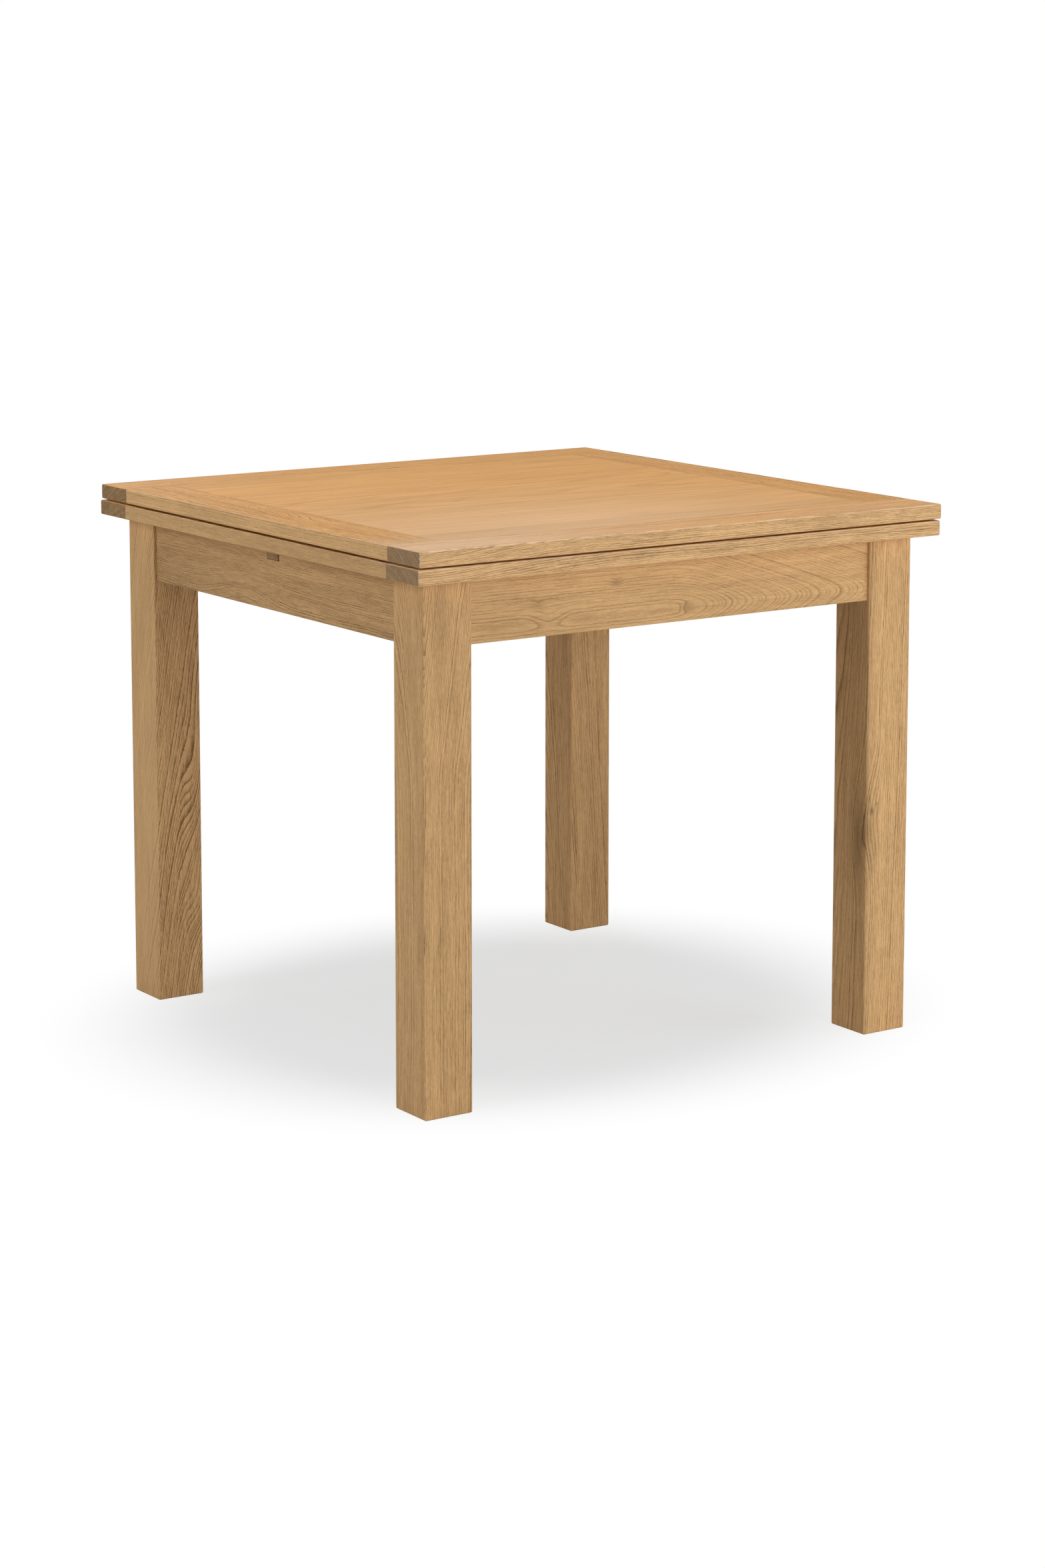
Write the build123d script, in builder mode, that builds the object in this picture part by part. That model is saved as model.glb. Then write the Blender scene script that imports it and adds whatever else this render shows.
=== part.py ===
"""Square oak flip-top table, closed, in millimetres.

Two framed leaves lie one on the other on a frame with four legs. The lower leaf slides to the left on
a dovetail runner. The flip leaf then folds over on three butt hinges and lies beside it.
The origin is on the floor under the middle of the closed top. X runs along the front edge, Y runs to
the back and Z points up.
"""

import os
from math import sqrt

from build123d import *

os.makedirs("parts", exist_ok=True)

# Leaves
leaf_length = 900.0  # along X
leaf_depth = 900.0  # along Y
leaf_thickness = 22.0
leaf_gap = 2.0  # between the closed leaves
leaf_stagger = 2.0  # the lower leaf stands this far to the left of the flip leaf
edge_round = 2.5
border_width = 80.0  # stiles and rails
tongue_thickness = 8.0
tongue_length = 10.0
groove_stop = 25.0  # solid wood left at each end of a stile
groove_play = 0.5

# Legs
leg_length = 740.0
leg_section = 77.0
leg_edge_round = 3.0
foot_round = 2.5
leg_flat = 14.0  # the inner corner is cut back by this, behind the aprons
side_overhang = 28.0  # leaf past the leg at the left and right
front_overhang = 34.0  # leaf past the leg at the front and back

# Aprons
apron_height = 92.0
apron_thickness = 22.0
apron_setback = 6.0
apron_edge_round = 1.5
tenon_length = 15.0
tenon_thickness = 10.0
tenon_shoulder = 11.0

# Corner blocks and their fasteners
block_thickness = 32.0
block_height = 70.0
bolt_radius = 4.0
bolt_spacing = 36.0
bolt_head_radius = 7.5
bolt_head_height = 5.3
bolt_reach = 22.0  # depth in the insert
washer_radius = 10.0
washer_thickness = 1.6
insert_radius = 6.0
insert_length = 25.0
screw_radius = 2.0
screw_head_radius = 4.0
block_screw_head_height = 2.5
block_screw_seat = 12.0  # from the apron to the underside of the head
block_screw_reach = 14.0  # depth in the apron
block_screw_spacing = 44.0
bore_play = 0.1

# Cross bearers
bearer_thickness = 22.0
bearer_height = 60.0
bearer_spacing = 150.0
bearer_to_block = 10.0
housing_depth = 6.0

# Runner and its stop
runner_height = 18.5
runner_top_width = 26.0
runner_bottom_width = 29.0
runner_middle = -7.0  # along Y, a little to the front of the table's middle
runner_end_room = 12.0  # short of the right apron
runner_side_play = 0.4  # in the bearers
runner_floor_play = 0.8
notch_front_play = 5.0  # in the left apron
notch_back_play = 0.8
slide_clearance = 0.3  # between the frame and the lower leaf
stop_groove_depth = 7.0
stop_pin_radius = 4.0
stop_pin_play = 0.5
stop_pin_head_radius = 7.0
stop_pin_head_height = 3.0
runner_screw_count = 5
runner_screw_inset = 64.0
runner_screw_reach = 14.0  # depth in the panel

# Butt hinges
hinge_count = 3
hinge_inset = 50.0  # middle of an outer hinge from the end of the rail
hinge_width = 60.0
plate_length = 38.0  # from the middle of the pin
plate_end_gap = 0.5  # plate edge to the middle of the pin
plate_thickness = 2.5
plate_corner_round = 8.0
knuckle_count = 5
knuckle_radius = 2.0
knuckle_play = 0.4  # between neighbours
knuckle_clearance = 0.4  # to the notch in the other plate
pin_radius = 1.0
pin_fit = 0.02  # in the lower plate's knuckles
pin_play = 0.1  # in the flip plate's knuckles
seam_gap = 0.6  # between the leaves when open
plate_screw_inset = 10.0
plate_screw_spacing = 34.0
plate_screw_length = 15.0

# Spacer pads
pad_radius = 6.0
pad_inset = 40.0
pad_clearance = 0.3

# Places that follow from the sizes above
lower_bottom = leg_length + slide_clearance
lower_top = lower_bottom + leaf_thickness
flip_bottom = lower_top + leaf_gap
knuckle_overhang = seam_gap / 2 + knuckle_radius - leaf_stagger / 2  # past the flip leaf's edge
lower_middle_x = -(knuckle_overhang + leaf_stagger) / 2
flip_middle_x = lower_middle_x + leaf_stagger
panel_length = leaf_length - 2 * border_width
panel_depth = leaf_depth - 2 * border_width
slide_travel = leaf_length / 2

frame_half_x = leaf_length / 2 - side_overhang
frame_half_y = leaf_depth / 2 - front_overhang
leg_inner_x = frame_half_x - leg_section
leg_inner_y = frame_half_y - leg_section
leg_middle_x = frame_half_x - leg_section / 2
leg_middle_y = frame_half_y - leg_section / 2
apron_face_x = frame_half_x - apron_setback
apron_inner_x = apron_face_x - apron_thickness
apron_inner_y = frame_half_y - apron_setback - apron_thickness
apron_middle_x = apron_inner_x + apron_thickness / 2
apron_middle_y = apron_inner_y + apron_thickness / 2
apron_bottom = leg_length - apron_height
tenon_height = apron_height - 2 * tenon_shoulder

block_middle_z = leg_length - apron_height / 2
block_near = 2 * (leg_section - apron_setback - apron_thickness) - leg_flat
block_far = block_near + sqrt(2) * block_thickness
block_screw_place = (block_near + block_far) / 2

bearer_left_x = -(apron_inner_x - block_far - bearer_to_block - bearer_thickness / 2)
bearer_middle_x = bearer_left_x + bearer_spacing
runner_start = -apron_face_x
runner_end = apron_inner_x - runner_end_room
runner_bottom = lower_bottom - runner_height
runner_screw_step = (runner_end - runner_start - 2 * runner_screw_inset) / (runner_screw_count - 1)
runner_screw_places = [
    runner_start + runner_screw_inset + runner_screw_step * number for number in range(runner_screw_count)
]

hinge_x = (lower_middle_x + flip_middle_x + leaf_length + seam_gap) / 2
hinge_z = lower_top + leaf_gap / 2
knuckle_step = hinge_width / knuckle_count
hinge_step = (panel_depth - 2 * hinge_inset) / (hinge_count - 1)
hinge_places = [hinge_inset - panel_depth / 2 + hinge_step * number for number in range(hinge_count)]
hinge_names = ["front", "middle", "back"]

corners = {
    "front_left": (-1, -1),
    "front_right": (1, -1),
    "back_left": (-1, 1),
    "back_right": (1, 1),
}


def write(piece, name):
    """Label a finished piece and write it to its own file."""
    piece.part.label = name
    export_step(piece.part, f"parts/{name}.step")


def bolt_plane(side_x, side_y):
    """Return the plane on a leg's inner flat, facing the middle of the table, with its X axis up."""
    flat_x = side_x * (leg_inner_x + leg_flat / 2)
    flat_y = side_y * (leg_inner_y + leg_flat / 2)
    return Plane(origin=(flat_x, flat_y, block_middle_z), x_dir=(0, 0, 1), z_dir=(-side_x, -side_y, 0))


def corner_point(side_x, side_y, from_side, from_front):
    """Return the plan point at these distances from the two apron faces that meet in a corner."""
    return side_x * (apron_inner_x - from_side), side_y * (apron_inner_y - from_front)


def block_screw_planes(side_x, side_y):
    """Return the planes of a corner block's screws, on the apron faces and facing into the aprons."""
    front_x, front_y = corner_point(side_x, side_y, block_screw_place, 0)
    side_face_x, side_face_y = corner_point(side_x, side_y, 0, block_screw_place)
    planes = []
    for height in (block_middle_z - block_screw_spacing / 2, block_middle_z + block_screw_spacing / 2):
        planes.append(Plane(origin=(front_x, front_y, height), z_dir=(0, side_y, 0)))
        planes.append(Plane(origin=(side_face_x, side_face_y, height), z_dir=(side_x, 0, 0)))
    return planes


def dovetail_points(top, front_play, back_play, floor_play):
    """Return the runner's section as (Y, Z) points up to a height, with room at its sides and floor."""
    floor = runner_bottom - floor_play
    slope = (runner_bottom_width - runner_top_width) / 2 / runner_height

    def half_width(height):
        return runner_top_width / 2 + slope * (lower_bottom - height)

    return [
        (runner_middle - half_width(top) - front_play, top),
        (runner_middle + half_width(top) + back_play, top),
        (runner_middle + half_width(floor) + back_play, floor),
        (runner_middle - half_width(floor) - front_play, floor),
    ]


# Legs: square, with a flat on the inner corner for the bolts and mortises for the apron tenons
for corner, (side_x, side_y) in corners.items():
    with BuildPart() as leg:
        with BuildSketch(Plane.XY):
            with Locations((side_x * leg_middle_x, side_y * leg_middle_y)):
                Rectangle(leg_section, leg_section)
        extrude(amount=leg_length)
        fillet(leg.edges().filter_by(Axis.Z), leg_edge_round)
        fillet(leg.faces().sort_by(Axis.Z)[0].edges(), foot_round)
        with BuildSketch(Plane.XY.offset(apron_bottom)):
            with BuildLine():
                Polyline(
                    (side_x * leg_inner_x, side_y * leg_inner_y),
                    (side_x * (leg_inner_x + leg_flat), side_y * leg_inner_y),
                    (side_x * leg_inner_x, side_y * (leg_inner_y + leg_flat)),
                    close=True,
                )
            make_face()
        extrude(amount=apron_height, mode=Mode.SUBTRACT)
        with BuildSketch(bolt_plane(side_x, side_y)):
            with GridLocations(bolt_spacing, 0, 2, 1):
                Circle(insert_radius)
        extrude(amount=-insert_length, mode=Mode.SUBTRACT)
        with BuildSketch(Plane.XY.offset(apron_bottom + tenon_shoulder)):
            with Locations((side_x * (leg_inner_x + tenon_length / 2), side_y * apron_middle_y)):
                Rectangle(tenon_length, tenon_thickness)
            with Locations((side_x * apron_middle_x, side_y * (leg_inner_y + tenon_length / 2))):
                Rectangle(tenon_thickness, tenon_length)
        extrude(amount=tenon_height, mode=Mode.SUBTRACT)
    write(leg, f"leg_{corner}")

# Aprons: each is drawn on its inner face, with X along the board, Y up and the normal pointing out
apron_planes = {
    "front": Plane(origin=(0, -apron_inner_y, 0), x_dir=(1, 0, 0), z_dir=(0, -1, 0)),
    "back": Plane(origin=(0, apron_inner_y, 0), x_dir=(-1, 0, 0), z_dir=(0, 1, 0)),
    "left": Plane(origin=(-apron_inner_x, 0, 0), x_dir=(0, -1, 0), z_dir=(-1, 0, 0)),
    "right": Plane(origin=(apron_inner_x, 0, 0), x_dir=(0, 1, 0), z_dir=(1, 0, 0)),
}
for side, face in apron_planes.items():
    lengthwise = side in ("front", "back")
    half_length = leg_inner_x if lengthwise else leg_inner_y
    screw_reach_out = (apron_inner_x if lengthwise else apron_inner_y) - block_screw_place
    with BuildPart() as apron:
        with BuildSketch(face):
            with Locations((0, leg_length - apron_height / 2)):
                Rectangle(2 * half_length, apron_height)
        extrude(amount=apron_thickness)
        board_axis = Axis.X if lengthwise else Axis.Y
        fillet(apron.edges().filter_by(board_axis).group_by(Axis.Z)[0], apron_edge_round)
        with BuildSketch(face.offset((apron_thickness - tenon_thickness) / 2)):
            with Locations((0, leg_length - apron_height / 2)):
                Rectangle(2 * (half_length + tenon_length), tenon_height)
        extrude(amount=tenon_thickness)
        with BuildSketch(face):
            with Locations((0, block_middle_z)):
                with GridLocations(2 * screw_reach_out, block_screw_spacing, 2, 2):
                    Circle(screw_radius + bore_play)
        extrude(amount=block_screw_reach, mode=Mode.SUBTRACT)
        if lengthwise:
            with BuildSketch(face):
                for bearer_x in (bearer_left_x, bearer_middle_x):
                    with Locations((bearer_x * face.x_dir.X, leg_length - bearer_height / 2)):
                        Rectangle(bearer_thickness, bearer_height)
            extrude(amount=housing_depth, mode=Mode.SUBTRACT)
        if side == "left":
            with BuildSketch(Plane.YZ.offset(-apron_face_x)):
                with BuildLine():
                    Polyline(
                        dovetail_points(leg_length, notch_front_play, notch_back_play, runner_floor_play),
                        close=True,
                    )
                make_face()
            extrude(amount=apron_thickness, mode=Mode.SUBTRACT)
    write(apron, f"apron_{side}")

# Cross bearers: housed in the front and back aprons, notched for the runner
stop_pin_bottom = leg_length - bearer_height
for name, bearer_x in (("bearer_left", bearer_left_x), ("bearer_middle", bearer_middle_x)):
    with BuildPart() as bearer:
        with BuildSketch(Plane.YZ.offset(bearer_x - bearer_thickness / 2)):
            with Locations((0, leg_length - bearer_height / 2)):
                Rectangle(2 * (apron_inner_y + housing_depth), bearer_height)
            with BuildLine():
                Polyline(
                    dovetail_points(leg_length, runner_side_play, runner_side_play, runner_floor_play),
                    close=True,
                )
            make_face(mode=Mode.SUBTRACT)
        extrude(amount=bearer_thickness)
        if name == "bearer_left":
            with BuildSketch(Plane.XY.offset(stop_pin_bottom)):
                with Locations((bearer_x, runner_middle)):
                    Circle(stop_pin_radius + bore_play)
            extrude(amount=bearer_height, mode=Mode.SUBTRACT)
    write(bearer, name)

# Corner blocks: a trapezium in plan, screwed to two aprons and bolted to the leg
for corner, (side_x, side_y) in corners.items():
    with BuildPart() as block:
        with BuildSketch(Plane.XY.offset(block_middle_z - block_height / 2)):
            with BuildLine():
                Polyline(
                    corner_point(side_x, side_y, block_near, 0),
                    corner_point(side_x, side_y, block_far, 0),
                    corner_point(side_x, side_y, 0, block_far),
                    corner_point(side_x, side_y, 0, block_near),
                    close=True,
                )
            make_face()
        extrude(amount=block_height)
        with BuildSketch(bolt_plane(side_x, side_y)):
            with GridLocations(bolt_spacing, 0, 2, 1):
                Circle(bolt_radius + bore_play)
        extrude(amount=block_thickness, mode=Mode.SUBTRACT)
        for screw_plane in block_screw_planes(side_x, side_y):
            with BuildSketch(screw_plane):
                Circle(screw_radius + bore_play)
            extrude(amount=-block_screw_seat, mode=Mode.SUBTRACT)
            with BuildSketch(screw_plane.offset(-block_screw_seat)):
                Circle(screw_head_radius + bore_play)
            extrude(amount=-block_far, mode=Mode.SUBTRACT)
    write(block, f"corner_block_{corner}")

# Bolts, washers and threaded inserts that hold the legs
with BuildPart() as bolts:
    for side_x, side_y in corners.values():
        seat = bolt_plane(side_x, side_y).offset(block_thickness + washer_thickness)
        with BuildSketch(seat):
            with GridLocations(bolt_spacing, 0, 2, 1):
                RegularPolygon(bolt_head_radius, 6)
        extrude(amount=bolt_head_height)
        with BuildSketch(seat):
            with GridLocations(bolt_spacing, 0, 2, 1):
                Circle(bolt_radius)
        extrude(amount=-(washer_thickness + block_thickness + bolt_reach))
write(bolts, "leg_bolts")

with BuildPart() as washers:
    for side_x, side_y in corners.values():
        with BuildSketch(bolt_plane(side_x, side_y).offset(block_thickness)):
            with GridLocations(bolt_spacing, 0, 2, 1):
                Circle(washer_radius)
                Circle(bolt_radius + bore_play, mode=Mode.SUBTRACT)
        extrude(amount=washer_thickness)
write(washers, "leg_bolt_washers")

with BuildPart() as inserts:
    for side_x, side_y in corners.values():
        with BuildSketch(bolt_plane(side_x, side_y)):
            with GridLocations(bolt_spacing, 0, 2, 1):
                Circle(insert_radius)
                Circle(bolt_radius + bore_play, mode=Mode.SUBTRACT)
        extrude(amount=-insert_length)
write(inserts, "leg_inserts")

with BuildPart() as block_screws:
    for side_x, side_y in corners.values():
        for screw_plane in block_screw_planes(side_x, side_y):
            head_seat = screw_plane.offset(-block_screw_seat)
            with BuildSketch(head_seat):
                Circle(screw_radius)
            extrude(amount=block_screw_seat + block_screw_reach)
            with BuildSketch(head_seat):
                Circle(screw_head_radius)
            extrude(amount=-block_screw_head_height)
write(block_screws, "corner_block_screws")

# Runner under the lower leaf, with the stop groove in its underside
stop_groove_start = bearer_left_x - stop_pin_radius - stop_pin_play
stop_groove_length = slide_travel + 2 * (stop_pin_radius + stop_pin_play)
screw_seat_z = runner_bottom + stop_groove_depth
with BuildPart() as runner:
    with BuildSketch(Plane.YZ.offset(runner_start)):
        with BuildLine():
            Polyline(dovetail_points(lower_bottom, 0, 0, 0), close=True)
        make_face()
    extrude(amount=runner_end - runner_start)
    with BuildSketch(Plane.XY.offset(runner_bottom)):
        with Locations((stop_groove_start + stop_groove_length / 2, runner_middle)):
            SlotOverall(stop_groove_length, 2 * (stop_pin_radius + stop_pin_play))
        with Locations(*[(place, runner_middle) for place in runner_screw_places]):
            Circle(screw_head_radius + bore_play)
    extrude(amount=stop_groove_depth, mode=Mode.SUBTRACT)
    with BuildSketch(Plane.XY.offset(screw_seat_z)):
        with Locations(*[(place, runner_middle) for place in runner_screw_places]):
            Circle(screw_radius + bore_play)
    extrude(amount=runner_height - stop_groove_depth, mode=Mode.SUBTRACT)
    with Locations(*[(place, runner_middle, screw_seat_z) for place in runner_screw_places]):
        Cone(
            screw_head_radius + bore_play,
            screw_radius + bore_play,
            screw_head_radius - screw_radius,
            align=(Align.CENTER, Align.CENTER, Align.MIN),
            mode=Mode.SUBTRACT,
        )
write(runner, "slide_runner")

with BuildPart() as runner_screws:
    with Locations(*[(place, runner_middle, screw_seat_z) for place in runner_screw_places]):
        Cone(
            screw_head_radius,
            screw_radius,
            screw_head_radius - screw_radius,
            align=(Align.CENTER, Align.CENTER, Align.MIN),
        )
        Cylinder(
            screw_radius,
            runner_height - stop_groove_depth + runner_screw_reach,
            align=(Align.CENTER, Align.CENTER, Align.MIN),
        )
write(runner_screws, "runner_screws")

with BuildPart() as stop_pin:
    with BuildSketch(Plane.XY.offset(stop_pin_bottom)):
        with Locations((bearer_left_x, runner_middle)):
            Circle(stop_pin_radius)
    extrude(amount=runner_bottom + stop_groove_depth - stop_pin_play - stop_pin_bottom)
    with BuildSketch(Plane.XY.offset(stop_pin_bottom)):
        with Locations((bearer_left_x, runner_middle)):
            Circle(stop_pin_head_radius)
    extrude(amount=-stop_pin_head_height)
write(stop_pin, "stop_pin")


def plate_blank(face_z, into, place):
    """Build a hinge plate without its knuckles and holes, let in flush with a leaf's face.

    face_z is the face's height, into the direction from it into the wood and place the hinge's middle
    along the edge.
    """
    with BuildPart() as blank:
        with BuildSketch(Plane.XY.offset(face_z)):
            with Locations((hinge_x - (plate_length + plate_end_gap) / 2, place)):
                Rectangle(plate_length - plate_end_gap, hinge_width)
        extrude(amount=into * plate_thickness)
        fillet(blank.edges().filter_by(Axis.Z).group_by(Axis.X)[0], plate_corner_round)
    return blank.part


def plate_screw_places(place):
    """Return the two screw positions of a hinge plate in plan."""
    row = hinge_x - plate_length + plate_screw_inset
    return [(row, place - plate_screw_spacing / 2), (row, place + plate_screw_spacing / 2)]


def knuckle_places(leaf, place):
    """Return the middles of a plate's knuckles along the edge: the lower plate has the outermost."""
    outermost = place - (hinge_width - knuckle_step) / 2
    numbers = range(0 if leaf == "lower" else 1, knuckle_count, 2)
    return [outermost + knuckle_step * number for number in numbers]


# Each leaf's hinged face, the way from it into the wood and the room round the pin in its knuckles
hinge_sides = {
    "lower": (lower_top, -1, pin_fit),
    "flip": (flip_bottom, 1, pin_play),
}

# Leaves: stiles run the whole length, rails and the panel are tongued into them
leaves = {
    "lower": (lower_middle_x, lower_bottom),
    "flip": (flip_middle_x, flip_bottom),
}
for leaf, (middle_x, bottom) in leaves.items():
    middle_z = bottom + leaf_thickness / 2
    tongue_plane = Plane.XY.offset(middle_z - tongue_thickness / 2)
    face_z, into, _ = hinge_sides[leaf]

    for side, side_y in (("front", -1), ("back", 1)):
        with BuildPart() as stile:
            with BuildSketch(Plane.XY.offset(bottom)):
                with Locations((middle_x, side_y * (leaf_depth - border_width) / 2)):
                    Rectangle(leaf_length, border_width)
            extrude(amount=leaf_thickness)
            outer_edges = stile.edges().sort_by(Axis.Y, reverse=side_y > 0)[:-4]
            fillet(outer_edges, edge_round)
            groove_depth = tongue_length + groove_play
            with BuildSketch(tongue_plane):
                with Locations((middle_x, side_y * (panel_depth + groove_depth) / 2)):
                    Rectangle(leaf_length - 2 * groove_stop, groove_depth)
            extrude(amount=tongue_thickness, mode=Mode.SUBTRACT)
        write(stile, f"{leaf}_leaf_{side}_stile")

    for side, side_x in (("left", -1), ("right", 1)):
        with BuildPart() as rail:
            with BuildSketch(Plane.XY.offset(bottom)):
                with Locations((middle_x + side_x * (leaf_length - border_width) / 2, 0)):
                    Rectangle(border_width, panel_depth)
            extrude(amount=leaf_thickness)
            long_edges = rail.edges().filter_by(Axis.Y)
            fillet(long_edges.group_by(Axis.X)[0 if side_x < 0 else -1], edge_round)
            tongue_width = border_width - groove_stop - groove_play
            with BuildSketch(tongue_plane):
                with Locations((middle_x + side_x * (panel_length + tongue_width) / 2, 0)):
                    Rectangle(tongue_width, panel_depth + 2 * tongue_length)
            extrude(amount=tongue_thickness)
            with BuildSketch(tongue_plane):
                with Locations((middle_x + side_x * (panel_length + groove_depth) / 2, 0)):
                    Rectangle(groove_depth, panel_depth + 2 * tongue_length)
            extrude(amount=tongue_thickness, mode=Mode.SUBTRACT)
            if side == "right":
                for place in hinge_places:
                    add(plate_blank(face_z, into, place), mode=Mode.SUBTRACT)
                    with BuildSketch(Plane.XY.offset(face_z)):
                        with Locations(*plate_screw_places(place)):
                            Circle(screw_radius + bore_play)
                    extrude(amount=into * plate_screw_length, mode=Mode.SUBTRACT)
                    with BuildSketch(Plane.XY.offset(face_z)):
                        with Locations((hinge_x - plate_end_gap + knuckle_radius, place)):
                            Rectangle(2 * knuckle_radius, hinge_width + 2 * knuckle_clearance)
                    extrude(amount=into * (plate_thickness + knuckle_clearance), mode=Mode.SUBTRACT)
        write(rail, f"{leaf}_leaf_{side}_rail")

    with BuildPart() as panel:
        with BuildSketch(Plane.XY.offset(bottom)):
            with Locations((middle_x, 0)):
                Rectangle(panel_length, panel_depth)
        extrude(amount=leaf_thickness)
        with BuildSketch(tongue_plane):
            with Locations((middle_x, 0)):
                Rectangle(panel_length + 2 * tongue_length, panel_depth)
                Rectangle(panel_length, panel_depth + 2 * tongue_length)
        extrude(amount=tongue_thickness)
        if leaf == "lower":
            with BuildSketch(Plane.XY.offset(bottom)):
                with Locations(*[(place, runner_middle) for place in runner_screw_places]):
                    Circle(screw_radius + bore_play)
            extrude(amount=runner_screw_reach, mode=Mode.SUBTRACT)
    write(panel, f"{leaf}_leaf_panel")

# Butt hinges: a plate in each leaf, whose knuckles interlock round one pin in the gap of the leaves
notch_length = knuckle_radius + knuckle_clearance
for hinge, place in zip(hinge_names, hinge_places):
    for leaf, (face_z, into, pin_room) in hinge_sides.items():
        other_knuckles = knuckle_places("flip" if leaf == "lower" else "lower", place)
        with BuildPart() as plate:
            add(plate_blank(face_z, into, place))
            with BuildSketch(Plane.XY.offset(face_z)):
                with Locations(*[(hinge_x - notch_length / 2, spot) for spot in other_knuckles]):
                    Rectangle(notch_length, knuckle_step)
            extrude(amount=into * plate_thickness, mode=Mode.SUBTRACT)
            for spot in knuckle_places(leaf, place):
                with BuildSketch(Plane.XZ.offset(-spot)):
                    with Locations((hinge_x, hinge_z)):
                        Circle(knuckle_radius)
                extrude(amount=(knuckle_step - knuckle_play) / 2, both=True)
            with BuildSketch(Plane.XZ.offset(-place)):
                with Locations((hinge_x, hinge_z)):
                    Circle(pin_radius + pin_room)
            extrude(amount=hinge_width / 2, both=True, mode=Mode.SUBTRACT)
            screw_places = plate_screw_places(place)
            with Locations(*[Plane(origin=(*spot, face_z), z_dir=(0, 0, into)) for spot in screw_places]):
                Cone(
                    screw_head_radius + bore_play,
                    screw_radius + bore_play,
                    screw_head_radius - screw_radius,
                    align=(Align.CENTER, Align.CENTER, Align.MIN),
                    mode=Mode.SUBTRACT,
                )
                Cylinder(
                    screw_radius + bore_play,
                    plate_thickness,
                    align=(Align.CENTER, Align.CENTER, Align.MIN),
                    mode=Mode.SUBTRACT,
                )
        write(plate, f"hinge_{hinge}_{leaf}_plate")

with BuildPart() as pins:
    for place in hinge_places:
        with BuildSketch(Plane.XZ.offset(-place)):
            with Locations((hinge_x, hinge_z)):
                Circle(pin_radius)
        extrude(amount=(hinge_width - knuckle_play) / 2, both=True)
write(pins, "hinge_pins")

for leaf, (face_z, into, _) in hinge_sides.items():
    with BuildPart() as plate_screws:
        for place in hinge_places:
            screw_places = plate_screw_places(place)
            with Locations(*[Plane(origin=(*spot, face_z), z_dir=(0, 0, into)) for spot in screw_places]):
                Cone(
                    screw_head_radius,
                    screw_radius,
                    screw_head_radius - screw_radius,
                    align=(Align.CENTER, Align.CENTER, Align.MIN),
                )
                Cylinder(screw_radius, plate_screw_length, align=(Align.CENTER, Align.CENTER, Align.MIN))
    write(plate_screws, f"hinge_{leaf}_screws")

# Felt pads on the lower leaf that carry the closed flip leaf
with BuildPart() as pads:
    with BuildSketch(Plane.XY.offset(lower_top)):
        with Locations((lower_middle_x, 0)):
            with GridLocations(leaf_length - 2 * pad_inset, leaf_depth - 2 * pad_inset, 2, 2):
                Circle(pad_radius)
    extrude(amount=leaf_gap - pad_clearance)
write(pads, "spacer_pads")
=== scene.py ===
"""Blender scene of a square oak flip-top table, dressed around its CAD frame.

Every object is in metres in the frame's own axes: X runs along the front edge, Y to the back and Z up.
"""

import logging
import math
from dataclasses import dataclass, field
from enum import Enum
from typing import Any, Mapping, Sequence, Union

import bpy
from mathutils import Matrix, Vector


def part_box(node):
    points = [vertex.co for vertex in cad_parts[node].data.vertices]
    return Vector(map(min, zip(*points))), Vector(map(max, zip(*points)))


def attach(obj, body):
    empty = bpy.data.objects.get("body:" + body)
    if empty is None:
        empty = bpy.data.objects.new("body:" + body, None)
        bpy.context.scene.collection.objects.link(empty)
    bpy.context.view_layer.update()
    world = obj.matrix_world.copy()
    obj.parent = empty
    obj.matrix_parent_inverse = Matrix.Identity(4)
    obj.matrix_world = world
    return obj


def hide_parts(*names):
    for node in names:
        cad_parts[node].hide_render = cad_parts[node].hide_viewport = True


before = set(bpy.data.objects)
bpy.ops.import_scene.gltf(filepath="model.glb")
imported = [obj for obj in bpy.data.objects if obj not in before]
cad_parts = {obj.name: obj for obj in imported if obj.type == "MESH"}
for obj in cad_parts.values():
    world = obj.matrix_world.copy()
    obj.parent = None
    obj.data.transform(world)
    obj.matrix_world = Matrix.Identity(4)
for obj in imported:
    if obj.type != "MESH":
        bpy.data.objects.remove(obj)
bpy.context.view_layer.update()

PHOTO_WIDTH = 1568
PHOTO_HEIGHT = 2352
MM = 0.001
SAME_WAY = 0.99
log = logging.getLogger("flip_top_table")

Number = Union["Value", float]
Triple = tuple[float, float, float]
Colour = tuple[float, float, float, float]
WHITE: Colour = (1.0, 1.0, 1.0, 1.0)


class Grain(Enum):
    """The way that a board's grain runs, as the order of its axes: along, across and through."""

    LENGTHWISE = (0, 1, 2)
    CROSSWISE = (1, 0, 2)
    UPRIGHT = (2, 0, 1)


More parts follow.
